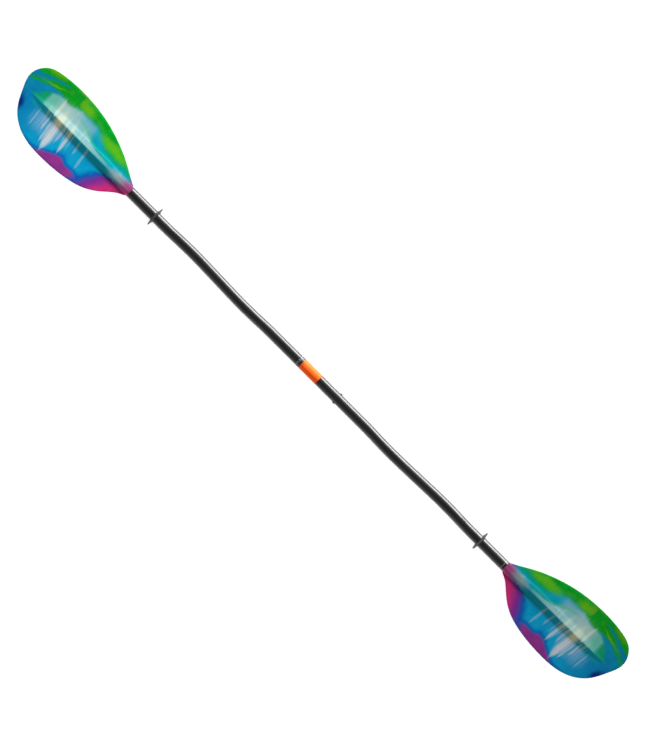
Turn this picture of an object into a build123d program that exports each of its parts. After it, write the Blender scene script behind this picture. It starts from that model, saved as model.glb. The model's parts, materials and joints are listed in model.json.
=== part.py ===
from build123d import *
import os

# Take-apart kayak paddle with a bent (crank) shaft.
# The origin is on the shaft's axis at the middle of the paddle. X runs along the
# shaft, +Z is the side of the blades' hollow power faces, where the spines are, and
# +Y is the side of the blades' longer edges. Every length is in millimetres.

# Overall
PADDLE_LENGTH = 2200.0
# The outline's curve swings a little past its outermost point
TIP_SWING = 0.3
TIP_X = PADDLE_LENGTH / 2 - TIP_SWING

# Shaft tubes
SHAFT_R = 15.0
SHAFT_WALL = 1.5
SHAFT_BORE_R = SHAFT_R - SHAFT_WALL
SHAFT_END_X = 697.5
# The crank of the right half: (x, z) of the corners and each corner's bend radius
CRANK_CORNERS = [(190.0, 0.0), (268.0, -23.0), (470.0, 23.0), (556.0, 0.0)]
CRANK_RADII = [160.0, 200.0, 200.0, 120.0]

# Bonded joints leave a thin glue line, and parts that turn or slide a running gap
GLUE_LINE = 0.1
RUNNING_GAP = 0.05
SEAM = 0.1
EDGE_CHAMFER = 0.6
# A cutter or a joined body reaches this far past the face it meets
OVERLAP = 1.0
# A cutter this long passes right through the shaft
THROUGH_LENGTH = 3 * SHAFT_R
# Two lengths nearer than this are the same one
TOLERANCE = 1e-3

# Centre joint
COLLAR_LEFT_X = -60.0
COLLAR_RIGHT_X = 1.2
SCALE_RING_WIDTH = 15.0
SCALE_RING_LEFT_X = COLLAR_LEFT_X - SCALE_RING_WIDTH
FERRULE_R = 12.0
FERRULE_WALL = 2.0
FERRULE_BORE_R = FERRULE_R - FERRULE_WALL
FERRULE_RIGHT_X = 89.5
FERRULE_CHAMFER = 1.0
SLEEVE_R = SHAFT_BORE_R - GLUE_LINE
SLEEVE_BORE_R = FERRULE_R + RUNNING_GAP
LEFT_SLEEVE_END_X = -139.0
RIGHT_SLEEVE_END_X = 99.5
RETAINER_R = 13.1
WASHER_WIDTH = 1.0
NUT_WIDTH = 6.0
NUT_SLOT_WIDTH = 3.0
END_PLUG_FLANGE_R = FERRULE_R - 0.5
END_PLUG_FLANGE_WIDTH = 3.0
END_PLUG_CHAMFER = 1.5
END_PLUG_SPIGOT = 8.0
SHAFT_PLUG_WIDTH = 15.0
SHAFT_PLUG_GAP = 6.0

# O-ring and its groove on the ferrule
O_RING_X = 14.0
O_RING_SECTION_R = 0.55
O_RING_PITCH_R = 11.4
GROOVE_BOTTOM_R = 10.8
GROOVE_WIDTH = 1.4

# Buttons and the latch under them
BUTTON_X = 71.5
BUTTON_R = 4.0
BUTTON_PROUD = 2.0
BUTTON_FLANGE_R = 4.7
BUTTON_FLANGE_SPAN = (12.9, 13.4)
BUTTON_DOME_FILLET = 1.2
BUTTON_HOLE_R = BUTTON_R + 0.2
LATCH_HOLE_R = 5.0
STUD_R = 4.8
STUD_REACH = 12.8
SPRING_THICKNESS = 0.8
SPRING_WIDTH = 7.0
SPRING_NOSE_X = 36.5
SPRING_NOSE_HALF = 4.0
SPRING_ARM_BEND_X = BUTTON_X - 8.0
SPRING_ARM_BEND_R = 20.0
SPRING_NOSE_BEND_R = 3.0
SPRING_TIP_X = 77.5
SPRING_ARM_Y = 8.6

# Blade
BLADE_LENGTH_CURVE_R = 2400.0
BLADE_WIDTH_CURVE_R = 500.0
BLADE_APEX_X = 755.0
BLADE_THICKNESS = 3.2
# The outline is cut out of the curved shell between these two heights
PRISM_LOW_Z = -40.0
PRISM_HIGH_Z = 80.0
NECK_ROUND_END_X = 725.0
NECK_SEAM = 0.3
SPIGOT_R = SHAFT_BORE_R - GLUE_LINE
SPIGOT_WALL = 1.6
SPIGOT_INNER_X = 650.0
SPIGOT_OUTER_X = 722.0
SPIGOT_END_GAP = 1.0

# Outline of the right blade, from inside the neck round the tip and back
BLADE_OUTLINE = [
    (699.5, 12.5),
    (704.0, 16.2),
    (713.0, 21.2),
    (750.0, 42.0),
    (805.0, 67.5),
    (876.0, 88.5),
    (960.0, 97.0),
    (1035.0, 91.5),
    (1077.0, 76.5),
    (TIP_X, 35.0),
    (1086.0, -10.0),
    (1062.0, -52.5),
    (1031.0, -81.0),
    (985.0, -99.5),
    (920.0, -104.0),
    (840.0, -95.5),
    (782.0, -75.5),
    (745.0, -46.7),
    (713.5, -22.4),
    (702.5, -16.4),
    (699.0, -12.5),
]

# Spine sections past the round neck: x, half width, half height, and the height of
# the section's centre over the blade's middle surface
SPINE_SECTIONS = [
    (765.0, 17.0, 12.0, 1.0),
    (830.0, 18.0, 6.8, 4.2),
    (910.0, 17.5, 5.2, 3.8),
    (990.0, 14.5, 3.6, 2.4),
    (1030.0, 9.0, 2.3, 1.2),
    (1055.0, 3.0, 1.2, 0.6),
]

# Trim band before the right blade
BAND_X = 690.2
BAND_WIDTH = 2.0
BAND_THICKNESS = 0.25

# Drip rings
LEFT_DRIP_RING_X = -606.7
RIGHT_DRIP_RING_X = 603.9
DRIP_RING_HUB_HALF = 4.0
DRIP_RING_HUB_R = 18.5
DRIP_RING_RIM_R = 28.8
DRIP_RING_RIM_HALF = 0.8
DRIP_RING_BORE_R = SHAFT_R + RUNNING_GAP

ALONG_X = Plane.YZ


def rod(radius, start_x, end_x):
    """A round rod along X."""
    return extrude(ALONG_X.offset(start_x) * Circle(radius), end_x - start_x)


def ring(outer_r, inner_r, start_x, end_x):
    """A plain round ring or tube along X."""
    profile = Circle(outer_r) - Circle(inner_r)
    return extrude(ALONG_X.offset(start_x) * profile, end_x - start_x)


def cross_pin(radius, x, length):
    """A round pin through the shaft's axis, along Y."""
    return Pos(x, 0, 0) * Rot(90, 0, 0) * Cylinder(radius, length)


def outer_edges_at(shape, x, radius):
    """The circular edges of a given radius at one place along X."""
    return [
        e
        for e in shape.edges().filter_by(GeomType.CIRCLE)
        if abs(e.center().X - x) < TOLERANCE and abs(e.radius - radius) < TOLERANCE
    ]


def chamfer_ends(shape, radius, places):
    """Break the outer edge of a round part at each of the given places along X."""
    for x in places:
        shape = chamfer(outer_edges_at(shape, x, radius), EDGE_CHAMFER)
    return shape


def blade_middle_z(x):
    """Height of the blade's middle surface on its centreline."""
    return BLADE_LENGTH_CURVE_R - (BLADE_LENGTH_CURVE_R**2 - (x - BLADE_APEX_X) ** 2) ** 0.5


def shaft_tube(start_x):
    """The right half's tube from its centre end to the blade's neck, with its crank."""
    corners = [(x, 0, z) for x, z in CRANK_CORNERS]
    path = FilletPolyline(
        [(start_x, 0, 0), *corners, (SHAFT_END_X, 0, 0)], radius=CRANK_RADII
    )
    section = ALONG_X.offset(start_x) * (Circle(SHAFT_R) - Circle(SHAFT_BORE_R))
    tube = sweep(section, path=path)
    return chamfer_ends(tube, SHAFT_R, [start_x])


def right_shaft_tube():
    """The right tube has a hole on each side for the buttons."""
    tube = shaft_tube(COLLAR_RIGHT_X + SEAM)
    return tube - cross_pin(BUTTON_HOLE_R, BUTTON_X, THROUGH_LENGTH)


def left_shaft_tube():
    return mirror(shaft_tube(-SCALE_RING_LEFT_X), about=Plane.YZ)


def left_ferrule_sleeve():
    """Bonded into the left tube, and longer than it by the scale ring's width."""
    return ring(SLEEVE_R, SLEEVE_BORE_R, LEFT_SLEEVE_END_X, COLLAR_LEFT_X)


def right_ferrule_sleeve():
    """Bonded into the right tube, with a hole on each side for the latch."""
    sleeve = ring(SLEEVE_R, SLEEVE_BORE_R, COLLAR_RIGHT_X + SEAM, RIGHT_SLEEVE_END_X)
    return sleeve - cross_pin(LATCH_HOLE_R, BUTTON_X, THROUGH_LENGTH)


def feather_scale_ring():
    """The ring on the end of the left half that carries the angle marks."""
    scale = ring(SHAFT_R, SHAFT_BORE_R, SCALE_RING_LEFT_X, COLLAR_LEFT_X)
    return chamfer_ends(scale, SHAFT_R, [COLLAR_LEFT_X])


def center_collar():
    """The collar that turns with the ferrule, against the scale ring."""
    collar = ring(SHAFT_R, FERRULE_R + GLUE_LINE, COLLAR_LEFT_X + SEAM, COLLAR_RIGHT_X)
    return chamfer_ends(collar, SHAFT_R, [COLLAR_LEFT_X + SEAM, COLLAR_RIGHT_X])


def male_ferrule():
    """The tube that joins the halves, with an O-ring groove and the latch holes."""
    nut_end = LEFT_SLEEVE_END_X - 2 * SEAM - WASHER_WIDTH - NUT_WIDTH
    ferrule = ring(FERRULE_R, FERRULE_BORE_R, nut_end, FERRULE_RIGHT_X)
    groove_half = GROOVE_WIDTH / 2
    groove = ring(
        FERRULE_R + OVERLAP, GROOVE_BOTTOM_R, O_RING_X - groove_half, O_RING_X + groove_half
    )
    ferrule = ferrule - groove - cross_pin(LATCH_HOLE_R, BUTTON_X, THROUGH_LENGTH)
    return chamfer(outer_edges_at(ferrule, FERRULE_RIGHT_X, FERRULE_R), FERRULE_CHAMFER)


def ferrule_o_ring():
    return Pos(O_RING_X, 0, 0) * Rot(0, 90, 0) * Torus(O_RING_PITCH_R, O_RING_SECTION_R)


def feather_washer():
    """The nylon washer between the left sleeve's end and the retaining nut."""
    right = LEFT_SLEEVE_END_X - SEAM
    return ring(RETAINER_R, FERRULE_R + GLUE_LINE, right - WASHER_WIDTH, right)


def feather_retaining_nut():
    """The slotted round nut on the ferrule's end that keeps it in the left half."""
    right = LEFT_SLEEVE_END_X - 2 * SEAM - WASHER_WIDTH
    left = right - NUT_WIDTH
    nut = ring(RETAINER_R, FERRULE_R + GLUE_LINE, left, right)
    slot = Pos(left, 0, 0) * Box(NUT_WIDTH, NUT_SLOT_WIDTH, 2 * (RETAINER_R + OVERLAP))
    return nut - slot


def ferrule_end_plug():
    """Closes the ferrule's open end and leads it into the right sleeve."""
    left = FERRULE_RIGHT_X - END_PLUG_SPIGOT
    right = FERRULE_RIGHT_X + END_PLUG_FLANGE_WIDTH
    flange = rod(END_PLUG_FLANGE_R, FERRULE_RIGHT_X + SEAM, right)
    flange = chamfer(outer_edges_at(flange, right, END_PLUG_FLANGE_R), END_PLUG_CHAMFER)
    spigot = rod(FERRULE_BORE_R - GLUE_LINE, left, FERRULE_RIGHT_X + OVERLAP)
    return flange + spigot


def latch_spring():
    """A bent leaf spring with a round locking stud on each arm."""
    arm_y = SPRING_ARM_Y - SPRING_THICKNESS / 2
    centreline = FilletPolyline(
        [
            (SPRING_TIP_X, arm_y, 0),
            (SPRING_ARM_BEND_X, arm_y, 0),
            (SPRING_NOSE_X, SPRING_NOSE_HALF, 0),
            (SPRING_NOSE_X, -SPRING_NOSE_HALF, 0),
            (SPRING_ARM_BEND_X, -arm_y, 0),
            (SPRING_TIP_X, -arm_y, 0),
        ],
        radius=[SPRING_ARM_BEND_R, SPRING_NOSE_BEND_R, SPRING_NOSE_BEND_R, SPRING_ARM_BEND_R],
    )
    end_plane = Plane(origin=(SPRING_TIP_X, arm_y, 0), x_dir=(0, 0, 1), z_dir=(-1, 0, 0))
    section = end_plane * Rectangle(SPRING_WIDTH, SPRING_THICKNESS)
    leaf = sweep(section, path=centreline)
    studs = cross_pin(STUD_R, BUTTON_X, 2 * STUD_REACH)
    studs = studs - cross_pin(STUD_R + OVERLAP, BUTTON_X, 2 * arm_y)
    studs = studs & rod(STUD_REACH, BUTTON_X - 2 * STUD_R, BUTTON_X + 2 * STUD_R)
    return leaf + studs


def upper_button():
    """A domed cap with a curved flange that keeps it under the tube's wall."""
    stem_top = SHAFT_R + BUTTON_PROUD
    low, high = BUTTON_FLANGE_SPAN
    stem = Pos(BUTTON_X, (low + stem_top) / 2, 0) * Rot(90, 0, 0) * Cylinder(
        BUTTON_R, stem_top - low
    )
    top_edge = stem.edges().filter_by(GeomType.CIRCLE).sort_by(Axis.Y)[-1]
    stem = fillet(top_edge, BUTTON_DOME_FILLET)
    inside = rod(low, BUTTON_X - 2 * BUTTON_R, BUTTON_X + 2 * BUTTON_R)
    flange = Pos(BUTTON_X, SHAFT_R / 2, 0) * Rot(90, 0, 0) * Cylinder(BUTTON_FLANGE_R, SHAFT_R)
    flange = flange & ring(high, low, BUTTON_X - 2 * BUTTON_R, BUTTON_X + 2 * BUTTON_R)
    return (stem - inside) + flange


def lower_button():
    return mirror(upper_button(), about=Plane.XZ)


def shaft_plug(start_x):
    """A foam plug that seals one half of the shaft."""
    return rod(SLEEVE_R, start_x, start_x + SHAFT_PLUG_WIDTH)


def left_shaft_plug():
    nut_end = LEFT_SLEEVE_END_X - 2 * SEAM - WASHER_WIDTH - NUT_WIDTH
    return shaft_plug(nut_end - SHAFT_PLUG_GAP - SHAFT_PLUG_WIDTH)


def right_shaft_plug():
    return shaft_plug(RIGHT_SLEEVE_END_X + SHAFT_PLUG_GAP)


def blade_shell():
    """The blade's skin: its outline cut from a thin surface curved both ways."""
    outline = Spline(*[(x, y) for x, y in BLADE_OUTLINE])
    edge = outline + Line(BLADE_OUTLINE[-1], BLADE_OUTLINE[0])
    sole = Plane.XY.offset(PRISM_LOW_Z) * make_face(edge.edges())
    prism = extrude(sole, PRISM_HIGH_Z - PRISM_LOW_Z)
    major_r = BLADE_LENGTH_CURVE_R - BLADE_WIDTH_CURVE_R
    centre = Pos(BLADE_APEX_X, 0, BLADE_LENGTH_CURVE_R) * Rot(90, 0, 0)
    half = BLADE_THICKNESS / 2
    outer = centre * Torus(major_r, BLADE_WIDTH_CURVE_R + half)
    inner = centre * Torus(major_r, BLADE_WIDTH_CURVE_R - half)
    return (prism & outer) - inner


def blade_spine():
    """The spine, from the round neck down to a point near the tip."""
    sections = [ALONG_X.offset(NECK_ROUND_END_X) * Circle(SHAFT_R)]
    for x, half_width, half_height, rise in SPINE_SECTIONS:
        plane = Plane(origin=(x, 0, blade_middle_z(x) + rise), x_dir=(0, 1, 0), z_dir=(1, 0, 0))
        sections.append(plane * Ellipse(half_width, half_height))
    return loft(sections)


def right_blade():
    """A blade with its spine, and the round neck that takes the spigot."""
    neck = rod(SHAFT_R, SHAFT_END_X + NECK_SEAM, NECK_ROUND_END_X)
    blade = blade_shell() + blade_spine() + neck
    return blade - rod(SHAFT_BORE_R, SHAFT_END_X - OVERLAP, SPIGOT_OUTER_X + SPIGOT_END_GAP)


def left_blade():
    return mirror(right_blade(), about=Plane.YZ)


def right_blade_spigot():
    """The tube bonded into both the shaft's end and the blade's neck."""
    return ring(SPIGOT_R, SPIGOT_R - SPIGOT_WALL, SPIGOT_INNER_X, SPIGOT_OUTER_X)


def left_blade_spigot():
    return mirror(right_blade_spigot(), about=Plane.YZ)


def right_neck_band():
    """A thin trim band round the shaft just before the blade."""
    inner = SHAFT_R + RUNNING_GAP
    half = BAND_WIDTH / 2
    return ring(inner + BAND_THICKNESS, inner, BAND_X - half, BAND_X + half)


def drip_ring(middle_x):
    """A rubber disc, thick at its hub and thin at its rim."""
    profile = [
        (-DRIP_RING_HUB_HALF, DRIP_RING_BORE_R),
        (-DRIP_RING_HUB_HALF, DRIP_RING_HUB_R),
        (-DRIP_RING_RIM_HALF, DRIP_RING_RIM_R),
        (DRIP_RING_RIM_HALF, DRIP_RING_RIM_R),
        (DRIP_RING_HUB_HALF, DRIP_RING_HUB_R),
        (DRIP_RING_HUB_HALF, DRIP_RING_BORE_R),
    ]
    face = make_face(Polyline([(middle_x + x, r) for x, r in profile], close=True))
    return revolve(face, axis=Axis.X)


def left_drip_ring():
    return drip_ring(LEFT_DRIP_RING_X)


def right_drip_ring():
    return drip_ring(RIGHT_DRIP_RING_X)


PARTS = [
    left_blade,
    left_blade_spigot,
    left_shaft_tube,
    left_shaft_plug,
    left_ferrule_sleeve,
    feather_scale_ring,
    feather_washer,
    feather_retaining_nut,
    male_ferrule,
    center_collar,
    ferrule_o_ring,
    latch_spring,
    ferrule_end_plug,
    right_shaft_tube,
    right_ferrule_sleeve,
    right_shaft_plug,
    upper_button,
    lower_button,
    right_neck_band,
    right_blade_spigot,
    right_blade,
    left_drip_ring,
    right_drip_ring,
]

os.makedirs("parts", exist_ok=True)
for make in PARTS:
    export_step(make(), f"parts/{make.__name__}.step")
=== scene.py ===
import json
import math

import bpy
import numpy as np
from mathutils import Matrix, Vector


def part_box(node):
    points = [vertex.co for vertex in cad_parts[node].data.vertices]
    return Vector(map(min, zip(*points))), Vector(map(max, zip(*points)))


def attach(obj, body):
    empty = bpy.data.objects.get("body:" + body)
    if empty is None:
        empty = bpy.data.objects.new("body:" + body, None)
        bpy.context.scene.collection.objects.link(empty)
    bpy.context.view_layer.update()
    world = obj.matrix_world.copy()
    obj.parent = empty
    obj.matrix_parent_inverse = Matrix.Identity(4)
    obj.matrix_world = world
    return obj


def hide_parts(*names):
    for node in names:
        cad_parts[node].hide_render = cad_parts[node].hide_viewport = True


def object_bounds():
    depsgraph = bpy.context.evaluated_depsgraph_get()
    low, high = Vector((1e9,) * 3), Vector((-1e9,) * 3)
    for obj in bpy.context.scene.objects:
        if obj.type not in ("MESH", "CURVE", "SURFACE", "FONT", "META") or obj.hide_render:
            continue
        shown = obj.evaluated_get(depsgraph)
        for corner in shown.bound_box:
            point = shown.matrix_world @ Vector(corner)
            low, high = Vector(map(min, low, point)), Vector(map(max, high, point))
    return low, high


# Take-apart kayak paddle. Row frame: X along the shaft, +Z out of the power faces,
# +Y towards the blades' longer edges, origin on the shaft's axis at its middle.
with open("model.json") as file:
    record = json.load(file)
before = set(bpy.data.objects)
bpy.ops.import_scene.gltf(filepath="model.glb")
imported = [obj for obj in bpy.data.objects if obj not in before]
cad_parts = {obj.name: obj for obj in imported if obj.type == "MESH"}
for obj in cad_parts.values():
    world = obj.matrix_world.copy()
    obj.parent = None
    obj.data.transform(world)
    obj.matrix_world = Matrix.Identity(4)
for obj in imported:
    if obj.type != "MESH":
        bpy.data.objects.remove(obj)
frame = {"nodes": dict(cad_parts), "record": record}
CAD_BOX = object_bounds()
NODES = frame["nodes"]
MM = 0.001


# ---------------------------------------------------------------- shape helpers

def smooth_curve(knots, values, at):
    """A natural cubic spline through the knots, read at the given places."""
    knots = np.asarray(knots, float)
    values = np.asarray(values, float)
    n = len(knots)
    step = np.diff(knots)
    slope = np.diff(values) / step
    a = np.zeros((n, n))
    b = np.zeros(n)
    a[0, 0] = a[-1, -1] = 1
    for i in range(1, n - 1):
        a[i, i - 1:i + 2] = step[i - 1], 2 * (step[i - 1] + step[i]), step[i]
        b[i] = 6 * (slope[i] - slope[i - 1])
    curve = np.linalg.solve(a, b)
    at = np.clip(np.asarray(at, float), knots[0], knots[-1])
    k = np.clip(np.searchsorted(knots, at) - 1, 0, n - 2)
    h = step[k]
    left = (knots[k + 1] - at) / h
    right = (at - knots[k]) / h
    bend = (left**3 - left) * curve[k] + (right**3 - right) * curve[k + 1]
    return left * values[k] + right * values[k + 1] + bend * h * h / 6


def smooth_step(x, low, high):
    """0 at low and 1 at high, with an S-curve between them."""
    t = np.clip((x - low) / (high - low), 0, 1)
    return t * t * (3 - 2 * t)


def soft_max(a, b, softness):
    """The larger of two heights, with their meeting rounded."""
    h = np.clip(0.5 + 0.5 * (a - b) / softness, 0, 1)
    return b + (a - b) * h + softness * h * (1 - h)


def make_mesh(name, verts, faces):
    """A smooth-shaded mesh object in the scene."""
    mesh = bpy.data.meshes.new(name)
    mesh.from_pydata([tuple(v) for v in verts], [], faces)
    mesh.update()
    mesh.shade_smooth()
    obj = bpy.data.objects.new(name, mesh)
    bpy.context.scene.collection.objects.link(obj)
    return obj


def tube_faces(rows, count):
    """Quads between rows of count points each."""
    faces = []
    for i in range(rows - 1):
        for k in range(count):
            n = (k + 1) % count
            faces.append((i * count + k, i * count + n, (i + 1) * count + n, (i + 1) * count + k))
    return faces


def lathe(name, profile, count):
    """A closed profile of (x, r) points turned about the X axis."""
    verts = []
    for x, r in profile:
        for k in range(count):
            angle = 2 * math.pi * k / count
            verts.append((x, r * math.cos(angle), r * math.sin(angle)))
    faces = tube_faces(len(profile), count)
    last = (len(profile) - 1) * count
    for k in range(count):
        n = (k + 1) % count
        faces.append((last + k, last + n, n, k))
    return make_mesh(name, verts, faces)


def set_material(obj, material):
    obj.data.materials.clear()
    obj.data.materials.append(material)


# ------------------------------------------------------------- material helpers

def colour(r, g, b):
    """Linear colour from the usual 0-255 display values."""
    def linear(c):
        c /= 255
        return c / 12.92 if c <= 0.04045 else ((c + 0.055) / 1.055) ** 2.4
    return (linear(r), linear(g), linear(b), 1)


class Shade:
    """A material's node tree, with short calls for the nodes used here."""

    def __init__(self, name, roughness, **sockets):
        self.material = bpy.data.materials.new(name)
        self.material.use_nodes = True
        self.tree = self.material.node_tree
        self.tree.nodes.clear()
        out = self.tree.nodes.new("ShaderNodeOutputMaterial")
        self.bsdf = self.tree.nodes.new("ShaderNodeBsdfPrincipled")
        self.link(self.bsdf.outputs[0], out.inputs["Surface"])
        self.bsdf.inputs["Roughness"].default_value = roughness
        for key, value in sockets.items():
            self.bsdf.inputs[key.replace("_", " ")].default_value = value
        self.coordinates = self.tree.nodes.new("ShaderNodeTexCoord")
        self.place = self.coordinates.outputs["Object"]
        self.x, self.y, self.z = self.split(self.place)

    def link(self, output, socket):
        self.tree.links.new(output, socket)

    def put(self, value, socket):
        """Gives a socket another node's output, or a plain value."""
        if isinstance(value, bpy.types.NodeSocket):
            self.link(value, socket)
        else:
            socket.default_value = value

    def set(self, socket, value):
        """Sets one of the surface's own sockets."""
        self.put(value, self.bsdf.inputs[socket])

    def split(self, vector):
        node = self.tree.nodes.new("ShaderNodeSeparateXYZ")
        self.link(vector, node.inputs[0])
        return node.outputs

    def around(self):
        """The angle round the shaft, 0 on the power-face side and growing towards +Y."""
        normal = self.split(self.coordinates.outputs["Normal"])
        return self.math("ARCTAN2", normal[1], normal[2])

    def math(self, operation, a, b=0.0, c=0.0):
        node = self.tree.nodes.new("ShaderNodeMath")
        node.operation = operation
        for value, socket in zip((a, b, c), node.inputs):
            self.put(value, socket)
        return node.outputs[0]

    def times(self, product, *others):
        for other in others:
            product = self.math("MULTIPLY", product, other)
        return product

    def less(self, a, b):
        """a without b."""
        return self.math("SUBTRACT", a, b)

    def scaled(self, value, factor, offset):
        """value * factor + offset."""
        return self.math("MULTIPLY_ADD", value, factor, offset)

    def off(self, value, middle):
        """How far a value is from the middle, on either side."""
        return self.math("ABSOLUTE", self.less(value, middle))

    def length(self, a, b):
        """How long the flat vector (a, b) is."""
        return self.math("SQRT", self.math("ADD", self.times(a, a), self.times(b, b)))

    def step(self, value, low, high, to_low=0.0, to_high=1.0):
        """A soft step as the value goes from low to high."""
        node = self.tree.nodes.new("ShaderNodeMapRange")
        node.interpolation_type = "SMOOTHSTEP"
        for v, socket in zip((value, low, high, to_low, to_high), node.inputs):
            self.put(v, socket)
        return node.outputs[0]

    def fall(self, value, low, high):
        """A soft step down, from 1 at low to 0 at high."""
        return self.step(value, low, high, 1.0, 0.0)

    def window(self, value, low, high, soft):
        """1 between low and high, 0 outside."""
        rise = self.step(value, low - soft, low + soft)
        return self.times(rise, self.fall(value, high - soft, high + soft))

    def stripe(self, value, middle, half, soft):
        """1 within half of the middle, 0 outside."""
        return self.fall(self.off(value, middle), half - soft, half + soft)

    def curve(self, value, points):
        """A smooth curve through (x, y) points that lie in 0 to 1."""
        node = self.tree.nodes.new("ShaderNodeFloatCurve")
        line = node.mapping.curves[0]
        for x, y in points[1:-1]:
            line.points.new(x, y)
        line.points[0].location = points[0]
        line.points[-1].location = points[-1]
        node.mapping.update()
        self.put(value, node.inputs["Value"])
        return node.outputs[0]

    def vector(self, x, y, z=0.0):
        node = self.tree.nodes.new("ShaderNodeCombineXYZ")
        for value, socket in zip((x, y, z), node.inputs):
            self.put(value, socket)
        return node.outputs[0]

    def noise(self, where, scale, detail=2.0, rough=0.5):
        node = self.tree.nodes.new("ShaderNodeTexNoise")
        self.put(where, node.inputs["Vector"])
        node.inputs["Scale"].default_value = scale
        node.inputs["Detail"].default_value = detail
        node.inputs["Roughness"].default_value = rough
        return node.outputs["Fac"]

    def stretched(self, where, stretch, detail=2.0, rough=0.5, seed=0.0):
        """Noise with its own fineness along each of two directions."""
        a, b = (self.times(value, factor) for value, factor in zip(where, stretch))
        return self.noise(self.vector(a, b, seed), 1.0, detail, rough)

    def mix(self, factor, a, b, blend="MIX"):
        node = self.tree.nodes.new("ShaderNodeMix")
        node.data_type = "RGBA"
        node.blend_type = blend
        self.put(factor, node.inputs[0])
        self.put(a, node.inputs[6])
        self.put(b, node.inputs[7])
        return node.outputs[2]

    def two_tones(self, value, low, high, first, second):
        """One display colour where the value is low, and another where it is high."""
        return self.mix(self.step(value, low, high), colour(*first), colour(*second))

    def bump(self, height, strength, distance):
        node = self.tree.nodes.new("ShaderNodeBump")
        node.inputs["Strength"].default_value = strength
        node.inputs["Distance"].default_value = distance
        self.put(height, node.inputs["Height"])
        self.link(node.outputs[0], self.bsdf.inputs["Normal"])


# ------------------------------------------------------------------- the blades

# Lengths in this section are in millimetres, and shares are of a length or a width.
BLADE_LOW, BLADE_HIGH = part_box("right_blade")
NECK_END = BLADE_LOW.x / MM
NECK_R = 15.0
NECK_CHAMFER = 0.35
NECK_BORE_R = 13.5
NECK_BORE_END = 722.8
# The bore's floor closes on a ring this small
BORE_CENTRE_R = 0.02
# Up to here the outline counts only outside the round neck
NECK_ZONE_END = 730.0
# The middle surface's curves along the blade and across it, and where the first starts
LENGTH_CURVE_R = 2400.0
WIDTH_CURVE_R = 500.0
CURVE_START = 755.0

# The blade's outline, as in the CAD: from the neck round the tip
OUTLINE = np.array([
    (699.5, 12.5), (704, 16.2), (713, 21.2), (750, 42), (805, 67.5), (876, 88.5), (960, 97),
    (1035, 91.5), (1077, 76.5), (1099.7, 35), (1086, -10), (1062, -52.5), (1031, -81),
    (985, -99.5), (920, -104), (840, -95.5), (782, -75.5), (745, -46.7), (713.5, -22.4),
    (702.5, -16.4), (699, -12.5),
], float)
OUTLINE_POINTS = 4001

# The ridge along the power face: x, half width at its foot, height over the face
RIDGE = np.array([
    (700, 15.0, 13.2), (725, 15.0, 13.2), (765, 16.6, 11.6), (800, 18.2, 10.3), (850, 18.4, 9.5),
    (900, 18.2, 9.2), (935, 17.2, 8.6), (975, 15.5, 7.1), (1005, 13.4, 5.4), (1030, 10.2, 3.4),
    (1048, 6.0, 1.5), (1062, 2.4, 0.0), (1100, 2.4, 0.0),
], float)
# The neck's bulge on the back: x, depth under the back face
BACK_BULGE = np.array([
    (700, 13.2), (722, 13.2), (745, 11.4), (770, 8.0), (800, 4.2), (830, 1.4), (855, 0.0),
    (1100, 0.0),
], float)
# Between these places the round neck becomes a ridge with a crest and a soft foot
ROUND_UNTIL = (730.0, 822.0)
CREST_R = 1.1
FOOT_SOFTNESS = 0.5
# Between these places the neck's circle becomes the blade's own section
SECTION_BLEND = (698.5, 706.0)
# Half the blade's thickness at its rim and at its middle
RIM_R = 0.95
CENTRE_HALF = 1.6

# Rows along the blade, closer together at both ends. They start this far past the
# neck's end, and the last one stops at this share of the outline's length.
BLADE_ROWS = 132
END_CROWDING = 0.055
FIRST_ROW_GAP = 1.0
LAST_ROW = 0.9975
# The outline's direction is taken over this much of it on either side
DIRECTION_REACH = 0.6
# Points across a row: on each fin, closer at its rim, over half the ridge, round a rim
FIN_POINTS = 15
FIN_SPREAD = 0.9
BODY_POINTS = 11
RIM_POINTS = 4
LOOP_POINTS = 2 * (2 * FIN_POINTS + 2 * BODY_POINTS + 1) + 2 * RIM_POINTS
# As a row narrows from the first of these widths to the second, its crest moves to its
# middle. The ridge's half width and the crest's place stay within shares of that width.
TIP_SPANS = (70.0, 20.0)
LARGEST_FOOT = 0.3
NEAREST_CREST = 0.35


def line_lengths(line):
    """The length of a line from its start up to each of its points."""
    return np.concatenate([[0], np.cumsum(np.hypot(*np.diff(line, axis=0).T))])


def outline_sides():
    """The outline as two dense lines from the neck to the tip: the +Y one and the -Y one."""
    chord = line_lengths(OUTLINE)
    at = np.linspace(0, chord[-1], OUTLINE_POINTS)
    xs = smooth_curve(chord, OUTLINE[:, 0], at)
    ys = smooth_curve(chord, OUTLINE[:, 1], at)
    tip = int(np.argmax(xs))
    sides = []
    for side_x, side_y in ((xs[:tip + 1], ys[:tip + 1]), (xs[tip:][::-1], ys[tip:][::-1])):
        outside = (np.abs(side_y) >= NECK_R) | (side_x > NECK_ZONE_END)
        sides.append(np.stack([side_x[outside], side_y[outside]], 1))
    return sides


def resample(line, shares):
    """Points of a line at shares of its length, and its direction at each of them."""
    length = line_lengths(line)
    at = shares * length[-1]

    def points(places):
        return np.stack([np.interp(places, length, line[:, i]) for i in (0, 1)], 1)

    along = points(at + DIRECTION_REACH) - points(at - DIRECTION_REACH)
    along /= np.maximum(np.hypot(*along.T), 1e-9)[:, None]
    return points(at), along


def middle_height(x, y):
    """The height of the blade's middle surface, which curves both ways."""
    run = np.maximum(np.asarray(x, float) - CURVE_START, 0)
    rise = LENGTH_CURVE_R - np.sqrt(LENGTH_CURVE_R**2 - run**2)
    return rise + np.asarray(y) ** 2 / (2 * WIDTH_CURVE_R)


def dome(x, y, top):
    """A half ellipse over the ridge's foot."""
    foot = smooth_curve(RIDGE[:, 0], RIDGE[:, 1], x)
    return top * np.sqrt(np.clip(1 - (y / foot) ** 2, 0, 1))


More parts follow.
